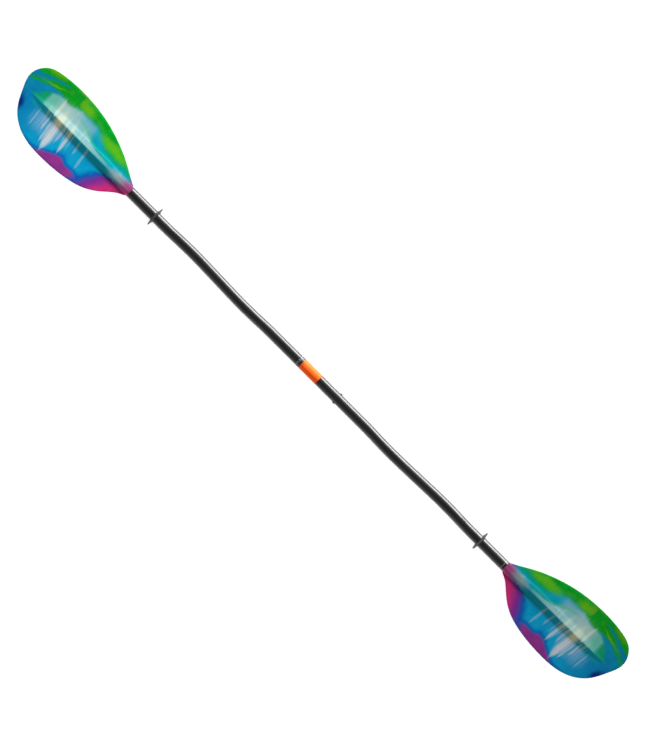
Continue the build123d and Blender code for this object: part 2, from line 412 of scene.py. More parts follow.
def ridge_height(x, y):
    """The ridge over the power face: a dome at the neck, and a tent further out."""
    foot = smooth_curve(RIDGE[:, 0], RIDGE[:, 1], x)
    top = np.maximum(smooth_curve(RIDGE[:, 0], RIDGE[:, 2], x), 0)
    rounded = np.sqrt(y * y + CREST_R**2) - CREST_R
    tent = top * (1 - rounded / foot)
    share = smooth_step(x, *ROUND_UNTIL)
    return dome(x, y, top) * (1 - share) + tent * share


def bulge_depth(x, y):
    """How far the neck bulges out under the back face."""
    return dome(x, y, np.maximum(smooth_curve(BACK_BULGE[:, 0], BACK_BULGE[:, 1], x), 0))


def row_positions(low, high):
    """Points across one row, from its -Y end to its +Y end, with lines at the ridge's feet."""
    x_mid = (low[0] + high[0]) / 2
    span = high[1] - low[1]
    foot = min(float(smooth_curve(RIDGE[:, 0], RIDGE[:, 1], x_mid)), LARGEST_FOOT * span)
    crest = 0.0
    if span < TIP_SPANS[0]:
        crest = smooth_step(np.array(span), *TIP_SPANS) * (low[1] + high[1]) / 2
        crest = min(max(crest, low[1] + NEAREST_CREST * span), high[1] - NEAREST_CREST * span)
    body = crest + foot * np.sin(np.linspace(-math.pi / 2, math.pi / 2, 2 * BODY_POINTS + 1))
    fin_share = np.linspace(0, 1, FIN_POINTS + 1)
    left = low[1] + (body[0] - low[1]) * fin_share**FIN_SPREAD
    right = body[-1] + (high[1] - body[-1]) * (1 - (1 - fin_share) ** FIN_SPREAD)
    ys = np.concatenate([left[:-1], body, right[1:]])
    share = (ys - low[1]) / span
    xs = low[0] + (high[0] - low[0]) * share
    return xs, ys, share


def blade_section(low, high, low_out, high_out):
    """One closed loop round the blade: over the power face, round the rim, back under it."""
    inner_low = low - RIM_R * low_out
    inner_high = high - RIM_R * high_out
    xs, ys, share = row_positions(inner_low, inner_high)
    across = 2 * share - 1
    half = RIM_R + (CENTRE_HALF - RIM_R) * (1 - across**4)
    middle = middle_height(xs, ys)
    top = middle + soft_max(half, half + ridge_height(xs, ys), FOOT_SOFTNESS)
    under = middle - half - bulge_depth(xs, ys)
    angles = np.radians(np.linspace(90, -90, RIM_POINTS + 2)[1:-1])

    def rim(inner, out, height, turn):
        flat = [inner + RIM_R * math.cos(a) * out for a in turn]
        return [(x, y, float(height) + RIM_R * math.sin(a)) for (x, y), a in zip(flat, turn)]

    loop = list(zip(xs, ys, top))
    loop += rim(inner_high, high_out, middle[-1], angles)
    loop += list(zip(xs[::-1], ys[::-1], under[::-1]))
    loop += rim(inner_low, low_out, middle[0], angles[::-1])
    return np.array(loop)


def blade_loops():
    """The blade's closed loops, from the floor of its bore out round the neck to the tip."""
    even = np.linspace(0, 1, BLADE_ROWS)
    shares = (even - END_CROWDING * np.sin(2 * math.pi * even)) * LAST_ROW
    upper, lower = outline_sides()
    high, high_along = resample(upper, shares)
    low, low_along = resample(lower, shares)
    high_out = np.stack([-high_along[:, 1], high_along[:, 0]], 1)
    low_out = np.stack([low_along[:, 1], -low_along[:, 0]], 1)
    turn = math.pi - 2 * math.pi * np.arange(LOOP_POINTS) / LOOP_POINTS
    circle = np.stack([np.zeros(LOOP_POINTS), np.cos(turn), np.sin(turn)], 1)
    # the bore, the chamfered end and the round neck, then the blade's own sections
    loops = [circle * radius + [x, 0, 0] for x, radius in (
        (NECK_BORE_END, BORE_CENTRE_R), (NECK_BORE_END, NECK_BORE_R), (NECK_END, NECK_BORE_R),
        (NECK_END, NECK_R - NECK_CHAMFER), (NECK_END + NECK_CHAMFER, NECK_R),
    )]
    for i in range(BLADE_ROWS):
        x_mid = (low[i][0] + high[i][0]) / 2
        if x_mid < NECK_END + FIRST_ROW_GAP:
            continue
        section = blade_section(low[i], high[i], low_out[i], high_out[i])
        keep = float(smooth_step(np.array(x_mid), *SECTION_BLEND))
        loops.append((circle * NECK_R + [x_mid, 0, 0]) * (1 - keep) + section * keep)
    return loops


def make_blade(name, side):
    """side is 1 for the right blade and -1 for its mirror image on the left."""
    loops = blade_loops()
    verts = np.vstack(loops) * MM
    verts[:, 0] *= side
    faces = tube_faces(len(loops), LOOP_POINTS)
    faces.append(tuple(reversed(range(LOOP_POINTS))))
    faces.append(tuple(range(len(verts) - LOOP_POINTS, len(verts))))
    if side > 0:
        faces = [f[::-1] for f in faces]
    return make_mesh(name, verts, faces)


# ---------------------------------------------------------------- the blade's dye

# Places on the blade: u runs from the neck (0) to the tip (1), v from the -Y edge (-1)
# to the +Y edge (1). Colours are display values.
# In metres, u starts this far from the neck's end, and v is 1 this far from the axis
U_START = 0.008
V_REACH = 0.1
# Half the width in v of the crisp colour edge along the ridge's crest
CREST_EDGE = 0.008

# The +Y edge is green beyond this v at each u, and teal for a little way inside that
GREEN_FROM = [
    (0.0, 0.12), (0.035, 0.23), (0.09, 0.34), (0.14, 0.38), (0.20, 0.30), (0.27, 0.32),
    (0.35, 0.46), (0.40, 0.57), (0.46, 0.62), (0.52, 0.61), (0.58, 0.60), (0.63, 0.51),
    (0.70, 0.47), (0.80, 0.50), (1.0, 0.50),
]
TEAL_FROM = [
    (0.0, 0.03), (0.035, 0.18), (0.09, 0.24), (0.20, 0.22), (0.27, 0.26), (0.31, 0.33),
    (0.36, 0.44), (0.40, 0.54), (0.50, 0.59), (1.0, 0.60),
]
# The pale area beside the ridge reaches this v
PALE_TO = [
    (0.0, 0.02), (0.12, 0.05), (0.18, 0.08), (0.24, 0.13), (0.30, 0.165), (0.38, 0.19),
    (0.42, 0.26), (0.46, 0.31), (0.50, 0.46), (0.55, 0.60), (0.60, 0.62), (0.66, 0.52),
    (0.72, 0.50), (0.78, 0.45), (0.83, 0.34), (0.86, 0.05), (1.0, 0.0),
]
# A sky-blue stream along the blade, and a green-teal one between it and the pale area
SKY_ALONG = [
    (0.0, 0.08), (0.12, 0.14), (0.21, 0.15), (0.29, 0.27), (0.36, 0.38), (0.42, 0.48),
    (0.47, 0.53), (1.0, 0.60),
]
LAGOON_ALONG = [
    (0.0, 0.10), (0.20, 0.11), (0.27, 0.14), (0.35, 0.18), (0.40, 0.24), (0.44, 0.30),
    (0.49, 0.37), (0.54, 0.42), (1.0, 0.45),
]
# The -Y edge is purple below this v
PURPLE_BELOW = [
    (0.0, -1.0), (0.22, -0.98), (0.27, -0.87), (0.30, -0.80), (0.34, -0.745), (0.40, -0.735),
    (0.44, -0.67), (0.475, -0.63), (0.515, -0.69), (0.55, -0.80), (0.60, -0.96), (0.62, -1.05),
    (1.0, -1.05),
]
# The magenta round the neck, in (v, u): it reaches this u at each v
MAGENTA_TO = [
    (-1.0, 0.31), (-0.85, 0.28), (-0.60, 0.25), (-0.40, 0.225), (-0.25, 0.20), (-0.17, 0.145),
    (-0.12, 0.07), (-0.02, 0.055), (0.10, 0.035), (0.16, -0.02), (0.22, -0.06), (1.0, -0.08),
]
# Yellow-green patches in the green: middle u and v, half sizes, slant, colour, strength
LIME_PATCHES = [
    (0.25, 0.48, 0.115, 0.105, 0.22, (102, 206, 30), 0.95),
    (0.555, 0.74, 0.052, 0.12, 0.0, (108, 202, 14), 0.95),
    (0.607, 0.80, 0.016, 0.14, 0.0, (118, 192, 14), 0.7),
    (0.43, 0.68, 0.045, 0.05, 0.9, (72, 190, 40), 0.5),
    (0.67, 0.97, 0.030, 0.05, 0.0, (120, 172, 22), 0.4),
    (0.865, 0.85, 0.055, 0.09, -0.7, (92, 182, 8), 0.9),
    (0.55, 0.98, 0.10, 0.07, 0.0, (70, 176, 30), 0.5),
    (0.72, 0.76, 0.012, 0.06, 0.0, (70, 180, 20), 0.5),
]
# Bands near the tip, along lines that slant by TIP_SLANT: the band's line, half width,
# first and last u, strength, colour
TIP_SLANT = 1.42
TIP_BANDS = [
    (0.775, 0.026, 0.765, 0.93, 0.9, (0, 138, 186)),
    (0.745, 0.042, 0.885, 1.02, 0.9, (0, 130, 192)),
    (0.62, 0.024, 0.77, 0.90, 0.9, (104, 186, 10)),
    (0.58, 0.035, 0.86, 1.02, 0.9, (10, 166, 40)),
    (0.69, 0.022, 0.80, 0.98, 0.6, (20, 170, 40)),
]
# Cream streaks across the blade: u, half width, lowest and highest v, strength
STREAKS = [
    (0.641, 0.034, -1.04, 0.66, 1.0), (0.538, 0.014, -0.76, 0.52, 0.75),
    (0.588, 0.012, -0.60, 0.50, 0.62), (0.692, 0.014, -0.12, 0.62, 0.85),
    (0.680, 0.009, -0.86, 0.02, 0.60), (0.712, 0.009, -0.58, 0.02, 0.55),
    (0.378, 0.008, -0.72, 0.20, 0.30), (0.448, 0.007, -0.46, 0.12, 0.26),
    (0.793, 0.007, -0.70, -0.06, 0.30), (0.606, 0.006, -0.30, 0.70, 0.35),
    (0.664, 0.012, -0.46, 0.36, 0.55), (0.560, 0.006, -0.42, 0.26, 0.35),
    (0.735, 0.007, -0.55, 0.26, 0.30), (0.505, 0.005, -0.50, 0.20, 0.25),
    (0.745, 0.005, -0.34, 0.30, 0.25),
]
# The waves of the cloth under the resin, in radians per metre
CLOTH_WAVES = 5200.0


class BladeShade(Shade):
    """The blade's shade, which is painted one colour over another.

    along and across are straight u and v. u and v wander, as the dye does.
    """

    def __init__(self):
        super().__init__(
            "blade", roughness=0.34, Specular_IOR_Level=0.10, Coat_Weight=0.15, Coat_Roughness=0.12)
        outwards = self.math("ABSOLUTE", self.x)
        start = BLADE_LOW.x + U_START
        reach = BLADE_HIGH.x - BLADE_LOW.x - U_START
        self.across = self.math("DIVIDE", self.y, V_REACH)
        self.along = self.math("DIVIDE", self.less(outwards, start), reach)
        self.flat = self.vector(outwards, self.y)
        self.cloud = self.noise(self.flat, 28, 4, 0.6)
        # the dye wanders, and drags in fine lines across the blade
        wander_along = self.less(self.noise(self.flat, 17, 3, 0.55), 0.5)
        turned = self.vector(self.y, outwards, 0.7)
        wander_across = self.less(self.noise(turned, 21, 3, 0.55), 0.5)
        self.lean = self.scaled(self.across, -0.04, self.along)
        self.comb = self.combed((52, 1.1), 4, 0.62, seed=3.0)
        self.u = self.scaled(wander_along, 0.055, self.along)
        self.v = self.scaled(wander_across, 0.17, self.across)
        self.v = self.scaled(self.less(self.comb, 0.5), 0.16, self.v)
        # the +Y side of the ridge's crest, which has a crisp edge
        self.plus_side = self.step(self.across, -CREST_EDGE, CREST_EDGE)
        self.dye = None

    def combed(self, stretch, detail=2.0, rough=0.5, seed=0.0):
        """Noise in lines that lie across the blade."""
        return self.stretched((self.lean, self.across), stretch, detail, rough, seed)

    def boundary(self, points):
        """The v that a line of (u, v) points has at this u."""
        return self.scaled(self.curve(self.u, [(u, (v + 1) / 2) for u, v in points]), 2.0, -1.0)

    def patch(self, middle, half, soft, slant=0.0):
        """1 inside an ellipse round a (u, v), fading out at its edge."""
        u = self.less(self.u, middle[0])
        v = self.scaled(u, -slant, self.less(self.v, middle[1]))
        far = self.length(self.math("DIVIDE", u, half[0]), self.math("DIVIDE", v, half[1]))
        return self.fall(far, 1.0 - soft, 1.0 + soft)

    def lay(self, mask, tone, strength=None):
        """Lays a colour over the dye where the mask is 1."""
        if strength is not None:
            mask = self.times(mask, strength)
        self.dye = self.mix(mask, self.dye, tone)

    def paint_blue(self):
        """Blue all over, deeper towards the tip and teal on the ridge's -Y flank."""
        self.dye = self.two_tones(self.cloud, 0.3, 0.7, (0, 148, 202), (0, 172, 212))
        self.lay(self.step(self.u, 0.50, 1.0), colour(0, 126, 182))
        ridge = self.times(
            self.stripe(self.across, -0.09, 0.09, 0.02), self.window(self.u, 0.16, 0.87, 0.04))
        self.lay(ridge, colour(0, 158, 168), 0.75)

    def paint_pale(self):
        """The pale area on the +Y side of the ridge."""
        pale = self.two_tones(self.comb, 0.32, 0.68, (134, 206, 204), (176, 214, 216))
        pale = self.mix(self.step(self.u, 0.66, 0.78, 0.0, 0.85), pale, colour(100, 198, 168))
        near_neck = self.two_tones(self.v, 0.05, 0.12, (98, 196, 200), (124, 208, 176))
        pale = self.mix(self.step(self.u, 0.20, 0.42, 0.60, 0.0), pale, near_neck)
        under_top = self.step(self.less(self.boundary(PALE_TO), self.v), -0.05, 0.07)
        from_neck = self.step(self.u, 0.10, 0.40, 0.55, 0.95)
        self.lay(self.times(under_top, self.plus_side, from_neck), pale)

    def paint_streams(self):
        """The sky-blue stream, and the green-teal one beside the pale area."""
        sky = self.off(self.v, self.boundary(SKY_ALONG))
        sky = self.less(sky, self.step(self.u, 0.36, 0.46, 0.0, 0.10))
        mask = self.times(self.fall(sky, 0.03, 0.16), self.fall(self.u, 0.50, 0.60))
        self.lay(mask, self.two_tones(self.u, 0.40, 0.47, (0, 180, 206), (126, 194, 220)), 0.9)
        lagoon = self.off(self.v, self.boundary(LAGOON_ALONG))
        mask = self.times(
            self.step(lagoon, 0.015, 0.07, 0.8, 0.0), self.window(self.u, 0.22, 0.54, 0.06))
        self.lay(mask, self.two_tones(self.u, 0.36, 0.46, (0, 182, 150), (104, 206, 166)))

    def paint_green(self):
        """Teal and green along the +Y edge, with yellow-green patches."""
        teal = self.step(self.less(self.v, self.boundary(TEAL_FROM)), -0.10, 0.08)
        self.lay(teal, colour(0, 178, 140))
        cloud = self.noise(self.flat, 36, 4, 0.6)
        green = self.two_tones(cloud, 0.32, 0.68, (0, 168, 34), (6, 192, 52))
        green = self.mix(self.step(self.u, 0.58, 0.72, 0.0, 0.7), green, colour(0, 160, 26))
        self.lay(self.step(self.less(self.v, self.boundary(GREEN_FROM)), -0.06, 0.09), green)
        for u, v, half_u, half_v, slant, tone, strength in LIME_PATCHES:
            self.lay(self.patch((u, v), (half_u, half_v), 0.7, slant), colour(*tone), strength)

    def paint_tip(self):
        """Blue that runs through the green towards the tip, a green wedge and a navy patch."""
        run = self.scaled(self.less(self.u, 0.80), TIP_SLANT, self.v)
        streaky = self.less(self.stretched((run, self.u), (9, 3), 3, 0.6), 0.5)
        run = self.scaled(streaky, 0.10, run)
        low_blue = self.times(
            self.fall(run, 0.50, 0.58), self.step(self.u, 0.79, 0.84), self.step(self.v, -0.06, 0.08))
        self.lay(low_blue, self.two_tones(self.cloud, 0.3, 0.7, (0, 134, 182), (0, 152, 196)))
        for at, half, start, end, strength, tone in TIP_BANDS:
            near = self.fall(self.off(run, at), half * 0.5, half * 1.7)
            band = self.times(near, self.window(self.u, start, end, 0.05))
            self.lay(band, colour(*tone), strength)
        slope = self.scaled(self.less(self.u, 0.832), 4.2, self.v)
        wedge = self.times(
            self.fall(slope, 0.27, 0.40), self.step(self.u, 0.795, 0.825), self.plus_side)
        self.lay(wedge, self.two_tones(self.v, 0.05, 0.3, (6, 168, 120), (8, 168, 82)), 0.92)
        self.lay(self.patch((0.922, -0.41), (0.033, 0.18), 0.7, 3.0), colour(0, 44, 128))

    def paint_haze(self):
        """A pale haze on the -Y side, between the streaks."""
        haze = self.times(
            self.patch((0.725, -0.36), (0.065, 0.26), 0.7),
            self.step(self.comb, 0.30, 0.65, 0.15, 0.5),
            self.fall(self.across, -0.20, -0.16))
        self.lay(haze, colour(120, 184, 214))

    def paint_purple(self):
        """Purple along the -Y edge and magenta round the neck, each with a deep blue fringe."""
        rise = self.less(self.boundary(PURPLE_BELOW), self.v)
        self.lay(self.step(rise, -0.16, -0.02, 0.0, 0.85), colour(0, 88, 180))
        purple = self.two_tones(self.cloud, 0.35, 0.65, (136, 48, 142), (154, 52, 140))
        self.lay(self.step(rise, -0.03, 0.07), purple)
        place = self.scaled(self.v, 0.5, 0.5)
        inside = self.less(self.curve(place, [((v + 1) / 2, u) for v, u in MAGENTA_TO]), self.u)
        self.lay(self.step(inside, -0.072, -0.012), colour(0, 82, 178))
        self.lay(self.step(inside, -0.03, 0.03), colour(122, 46, 152))
        rose = self.two_tones(self.cloud, 0.3, 0.7, (206, 36, 112), (224, 54, 134))
        self.lay(self.step(inside, 0.02, 0.115), rose)

    def streak(self, frayed, at, half, low, high, strength):
        """One streak: pointed at its low end, and fading out at both ends."""
        place = self.math("DIVIDE", self.less(self.across, (low + high) / 2), (high - low) / 2)
        point = self.step(place, -1.05, -0.35)
        fade = self.fall(place, 0.15, 1.0)
        width = self.scaled(self.times(point, self.scaled(fade, 0.4, 0.6)), half, 0.0006)
        sides = self.math("DIVIDE", self.off(frayed, at), width)
        core = self.step(sides, 0.15, 1.5, strength, 0.0)
        return self.times(core, self.step(place, -1.0, -0.6), fade)

    def paint_streaks(self):
        """Cream streaks dragged across the blade, with fine lines in them and round them."""
        lines = self.combed((150, 1.5), 3, 0.6, seed=9.0)
        bend = self.less(self.combed((16, 1.7), seed=5.0), 0.5)
        frayed = self.scaled(bend, 0.022, self.lean)
        streaks = 0.0
        for row in STREAKS:
            streaks = self.math("MAXIMUM", streaks, self.streak(frayed, *row))
        streaks = self.times(streaks, self.step(lines, 0.34, 0.60, 0.62, 1.0))
        wisps = self.times(
            self.step(lines, 0.55, 0.72),
            self.step(self.off(self.u, 0.62), 0.08, 0.24, 0.32, 0.0),
            self.step(self.v, 0.40, 0.70, 1.0, 0.2),
            self.step(self.v, -0.75, -0.5))
        cream = self.two_tones(self.across, -0.18, -0.15, (214, 220, 222), (236, 228, 176))
        cream = self.mix(self.plus_side, cream, colour(232, 238, 208))
        self.lay(self.math("MAXIMUM", streaks, wisps), cream)

    def paint_neck(self):
        """A pale beige highlight painted on the neck's crown, and rose dye at its end."""
        # painted highlight: a pale beige patch where the round neck would catch the light
        self.lay(self.patch((0.095, 0.0), (0.072, 0.12), 0.75), colour(190, 194, 178), 0.68)
        self.lay(self.patch((0.012, 0.02), (0.036, 0.18), 0.9), colour(198, 86, 146), 0.8)

    def finish(self):
        """Fine glass cloth under the resin, a slightly uneven coat, and painted shade on the ridge's lit
        flank.
        """
        weave = self.times(*(
            self.math("SINE", self.times(side, CLOTH_WAVES)) for side in (self.x, self.y)))
        mottle = self.noise(self.flat, 120, 3, 0.6)
        tone = self.scaled(weave, 0.018, self.scaled(mottle, 0.16, 0.90))
        # painted shade: the ridge's lit +Y flank is darkened, most near the neck
        lit_flank_shade = self.times(
            self.stripe(self.across, 0.08, 0.08, 0.02), self.step(self.u, 0.25, 0.60, 0.36, 0.12))
        tone = self.times(tone, self.less(1.0, lit_flank_shade))
        self.dye = self.mix(1.0, self.dye, self.vector(tone, tone, tone), "MULTIPLY")
        self.set("Base Color", self.dye)
        self.set("Roughness", self.step(mottle, 0.2, 0.8, 0.30, 0.42))
        self.bump(self.scaled(weave, 0.12, self.noise(self.place, 220, 2)), 0.06, 0.0004)


def blade_material():
    """Swirled dye under clear gloss resin, over a fine glass cloth, with a painted highlight on the neck's
    crown and painted shade on the ridge's lit flank.
    """
    s = BladeShade()
    s.paint_blue()
    s.paint_pale()
    s.paint_streams()
    s.paint_green()
    s.paint_tip()
    s.paint_haze()
    s.paint_purple()
    s.paint_streaks()
    s.paint_neck()
    s.finish()
    return s.material


BLADE = blade_material()
BLADE_SKINS = []
for node, side in (("right_blade", 1), ("left_blade", -1)):
    piece = make_blade(node + "_skin", side)
    BLADE_SKINS.append(piece)
    set_material(piece, BLADE)
    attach(piece, "right_half" if side > 0 else "left_half")
    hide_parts(node)


# ------------------------------------------------------------ the other materials

# The shaft's braid: how many tows lie round it, and how wide each is along X
TOWS_ROUND = 48
TOW_WIDTH = 0.002
# Ticks on the scale ring: their spacing, a limit just past the last one in those
# spacings, and where they lie along X from the ring's end
TICK_DEGREES = 15
LAST_TICK = 4.3
TICK_X = 0.0071
TICK_HALF = 0.0008
TICK_SOFT = 0.0001
# The moulding rings on the drip rings' flanks, in radians per metre
MOULDING_WAVES = 5200.0


def shaft_material():
    """Braided carbon tube under clear gloss resin."""
    s = Shade(
        "shaft", roughness=0.4, Specular_IOR_Level=0.2, Coat_Weight=1.0, Coat_Roughness=0.19, Coat_IOR=1.45)
    turn = s.around()
    along = s.math("DIVIDE", s.x, TOW_WIDTH)
    round_it = s.times(turn, TOWS_ROUND / (2 * math.pi))
    warp = s.math("ADD", along, round_it)
    weft = s.less(along, round_it)
    cell = s.math("ADD", s.math("FLOOR", warp), s.math("FLOOR", weft))
    over = s.math("LESS_THAN", s.math("FLOORED_MODULO", cell, 4.0), 2.0)
    warp_crown, weft_crown = (s.off(s.math("FRACT", way), 0.5) for way in (warp, weft))
    crown = s.math("ADD", s.times(over, warp_crown), s.times(s.less(1.0, over), weft_crown))
    tone = s.scaled(over, 0.45, s.scaled(crown, -0.8, 0.75))
    s.set("Base Color", s.mix(tone, colour(5, 4, 4), colour(22, 19, 18)))
    haze = s.step(s.noise(s.place, 35, 3), 0.3, 0.7, 0.32, 0.42)
    s.set("Roughness", s.scaled(over, 0.12, haze))
    ripple = s.noise(s.vector(s.times(s.x, 26), turn), 1.0, 2)
    s.bump(s.scaled(crown, -0.04, ripple), 0.035, 0.0004)
    return s.material


def moulded(name, first, second, roughness, grain=900, strength=0.08, **sockets):
    """Moulded plastic or rubber: a fine grain, cloudy tone and patchy sheen."""
    s = Shade(name, roughness=roughness, **sockets)
    cloud = s.noise(s.place, 70, 4, 0.6)
    fine = s.noise(s.place, grain, 3, 0.6)
    s.set("Base Color", s.mix(s.scaled(fine, 0.4, s.times(cloud, 0.6)), colour(*first), colour(*second)))
    s.set("Roughness", s.step(cloud, 0.25, 0.75, roughness - 0.06, roughness + 0.07))
    s.bump(fine, strength, 0.0002)
    return s


def collar_material():
    """Satin orange moulding with fine lengthwise flow lines, and a faint painted glow that brightens it
    like extra light.
    """
    # painted light: a faint emission makes the collar glow in its own orange
    s = Shade("collar", roughness=0.45, Specular_IOR_Level=0.10, Emission_Strength=0.16)
    flow = s.stretched((s.x, s.around()), (30, 9), 4, 0.6, seed=2.0)
    cloud = s.noise(s.place, 60, 3, 0.55)
    orange = s.two_tones(flow, 0.3, 0.72, (252, 88, 24), (255, 100, 28))
    orange = s.mix(s.step(cloud, 0.45, 0.8, 0.0, 0.35), orange, colour(255, 114, 38))
    s.set("Base Color", orange)
    # the painted glow takes the collar's orange
    s.set("Emission Color", orange)
    s.set("Roughness", s.step(cloud, 0.2, 0.8, 0.40, 0.52))
    s.bump(s.noise(s.place, 420, 2), 0.05, 0.0003)
    return s.material


def scale_ring_material():
    """Satin black, with a white tick every 15 degrees to 60 each way."""
    s = moulded("scale_ring", (24, 24, 25), (36, 36, 37), 0.42, Coat_Weight=0.25)
    plain = s.bsdf.inputs["Base Color"].links[0].from_socket
    turn = s.math("DIVIDE", s.around(), math.radians(TICK_DEGREES))
    tick = s.fall(s.off(turn, s.math("ROUND", turn)), 0.07, 0.10)
    tick = s.times(tick, s.fall(s.math("ABSOLUTE", turn), LAST_TICK, LAST_TICK + 0.1))
    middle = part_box("feather_scale_ring")[0].x + TICK_X
    ends = s.stripe(s.x, middle, TICK_HALF, TICK_SOFT)
    s.set("Base Color", s.mix(s.times(tick, ends), plain, colour(222, 222, 218)))
    return s.material


def laminate_material(name, dark, light):
    """Ground glass-fibre tube: lengthwise fibres, and fine grinding lines round it."""
    s = Shade(name, roughness=0.38, Specular_IOR_Level=0.5, Coat_Weight=0.2, Coat_Roughness=0.2)
    turn = s.around()
    fibres = s.stretched((s.x, turn), (40, 60), 4, 0.65, seed=1.0)
    grinding = s.stretched((s.x, turn), (2600, 0.7), 3, seed=4.0)
    s.set("Base Color", s.two_tones(fibres, 0.3, 0.75, dark, light))
    s.set("Roughness", s.step(grinding, 0.3, 0.7, 0.30, 0.46))
    s.bump(grinding, 0.12, 0.0001)
    return s.material


def metal_material(name, grey, roughness, turned):
    """Metal with its working lines: turned round the part, or drawn along it."""
    s = Shade(name, roughness=roughness, Metallic=1.0)
    if turned:
        where = s.vector(s.times(s.x, 3200), s.times(s.around(), 0.8), 1.0)
    else:
        where = s.vector(s.times(s.x, 60), s.times(s.y, 3000), s.times(s.z, 3000))
    lines = s.noise(where, 1.0, 4, 0.6)
    blotch = s.step(s.noise(s.place, 300, 3), 0.3, 0.7)
    s.set("Base Color", s.mix(blotch, (*grey, 1), (*(0.86 * c for c in grey), 1)))
    s.set("Roughness", s.step(lines, 0.3, 0.7, roughness - 0.08, roughness + 0.10))
    s.bump(lines, 0.15, 0.00006)
    return s.material


def foam_material():
    """Closed-cell foam: small cells with thin walls, and painted shade in the cells' hollows."""
    s = Shade("foam_plug", roughness=0.85, Specular_IOR_Level=0.2)
    cells = s.tree.nodes.new("ShaderNodeTexVoronoi")
    cells.feature = "DISTANCE_TO_EDGE"
    cells.inputs["Scale"].default_value = 1500
    s.link(s.place, cells.inputs["Vector"])
    wall = s.fall(cells.outputs["Distance"], 0.0, 0.22)
    # painted shade: the cells' hollows are darker than the raised walls round them
    s.set("Base Color", s.mix(wall, colour(44, 44, 47), colour(84, 84, 88)))
    s.bump(wall, 0.6, 0.0002)
    return s.material


def drip_ring_material():
    """Soft black rubber with faint moulding rings and a dusty bloom."""
    s = Shade("drip_ring", roughness=0.55, Specular_IOR_Level=0.45)
    rings = s.math("SINE", s.times(s.length(s.y, s.z), MOULDING_WAVES))
    bloom = s.noise(s.place, 150, 4, 0.65)
    s.set("Base Color", s.two_tones(bloom, 0.3, 0.75, (46, 46, 48), (72, 72, 75)))
    s.set("Roughness", s.step(bloom, 0.3, 0.7, 0.48, 0.66))
    s.bump(s.scaled(rings, 0.2, s.noise(s.place, 1200, 2)), 0.12, 0.0001)
    return s.material


MATERIALS = {
    "shaft": shaft_material(),
    "collar": collar_material(),
    "scale_ring": scale_ring_material(),
    "neck_band": moulded(
        "neck_band", (118, 118, 120), (150, 150, 152), 0.35, Coat_Weight=0.4).material,
    "button": moulded(
        "button", (176, 52, 22), (204, 74, 34), 0.36, 1400, 0.05, Coat_Weight=0.3).material,
    "end_plug": moulded("end_plug", (28, 28, 29), (42, 42, 44), 0.45).material,
    "o_ring": moulded("o_ring", (22, 22, 23), (34, 34, 35), 0.38, 2200, 0.04).material,
    "nylon": moulded(
        "nylon", (226, 223, 212), (238, 236, 228), 0.42,
        Subsurface_Weight=0.15, Subsurface_Scale=0.001).material,
    "ferrule": laminate_material("ferrule", (30, 29, 28), (62, 60, 56)),
    "spigot": laminate_material("spigot", (52, 50, 44), (96, 92, 80)),
    "spring": metal_material("spring", (0.60, 0.60, 0.61), 0.28, False),
    "nut": metal_material("nut", (0.72, 0.72, 0.73), 0.30, True),
    "foam_plug": foam_material(),
    "drip_ring": drip_ring_material(),
    "blade": BLADE,
}
for part in frame["record"]["subparts"]:
    set_material(NODES[part["node"]], MATERIALS[part["material_slot"]])


# ---------------------------------------------------------------- small pieces

# The drip ring's outside, in millimetres: how far inside its flat end and how far over
# its bore, then how far inside its flat end and how far under its rim
DRIP_BORE_R = 15.05
DRIP_FLANK = [
    (0.9, 0.0), (0.3, 0.15), (0.0, 0.8), (0.1, 1.9), (0.7, 2.6), (1.35, 3.6), (1.9, 5.0),
    (2.35, 7.0), (2.75, 9.5),
]
DRIP_RIM = [(3.05, 1.9), (3.05, 0.8), (3.35, 0.2)]
DRIP_RING_POINTS = 128

# Numbers on the scale ring: their height, where they start along X, and their angles
NUMBER_HEIGHT = 0.0050
NUMBER_X = 0.0017
NUMBER_DEGREES = range(-60, 61, 30)
# Numbers and arrow stand this much over the ring's outside
MARKS_PROUD = 0.00007
# The collar's arrow: half width at its back, and its rows' distances from the scale ring
ARROW_HALF = 0.0020
ARROW_BACK = 0.0048
ARROW_MIDDLE = 0.00295
ARROW_TIP = 0.0011


def drip_ring(node):
    """A rubber disc with hollow flanks, a rounded rim and a bead at each end of its hub."""
    low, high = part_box(node)
    middle = (low.x + high.x) / 2
    half = (high.x - low.x) / 2 / MM
    rim = high.z / MM
    side = [(half - depth, DRIP_BORE_R + rise) for depth, rise in DRIP_FLANK]
    side += [(half - depth, rim - drop) for depth, drop in DRIP_RIM]
    profile = [(-x, r) for x, r in side] + [(0, rim)] + side[::-1]
    obj = lathe(node + "_rubber", [(middle + x * MM, r * MM) for x, r in profile], DRIP_RING_POINTS)
    set_material(obj, MATERIALS["drip_ring"])
    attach(obj, node + "_body")
    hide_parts(node)


drip_ring("left_drip_ring")
drip_ring("right_drip_ring")


def wrapped(name, flat_verts, faces, radius, x, angle, body, material):
    """Lays a flat mark on the shaft: its height runs along X, its width round the shaft."""
    verts = []
    for across, along in flat_verts:
        turn = angle + across / radius
        verts.append((x + along, radius * math.sin(turn), radius * math.cos(turn)))
    obj = make_mesh(name, verts, faces)
    set_material(obj, material)
    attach(obj, body)


def number_mesh(text):
    """The flat outline of a number as points and faces, centred on its width."""
    curve = bpy.data.curves.new("number", "FONT")
    curve.body = text
    curve.size = NUMBER_HEIGHT
    curve.align_x = "CENTER"
    holder = bpy.data.objects.new("number", curve)
    bpy.context.scene.collection.objects.link(holder)
    bpy.context.view_layer.update()
    evaluated = holder.evaluated_get(bpy.context.evaluated_depsgraph_get())
    mesh = bpy.data.meshes.new_from_object(evaluated)
    points = [(v.co.x, v.co.y) for v in mesh.vertices]
    faces = [tuple(p.vertices) for p in mesh.polygons]
    bpy.data.objects.remove(holder)
    return points, faces


INK = moulded("scale_ink", (214, 214, 210), (232, 232, 228), 0.5).material
PAD = moulded("index_ink", (30, 26, 24), (44, 38, 34), 0.5).material


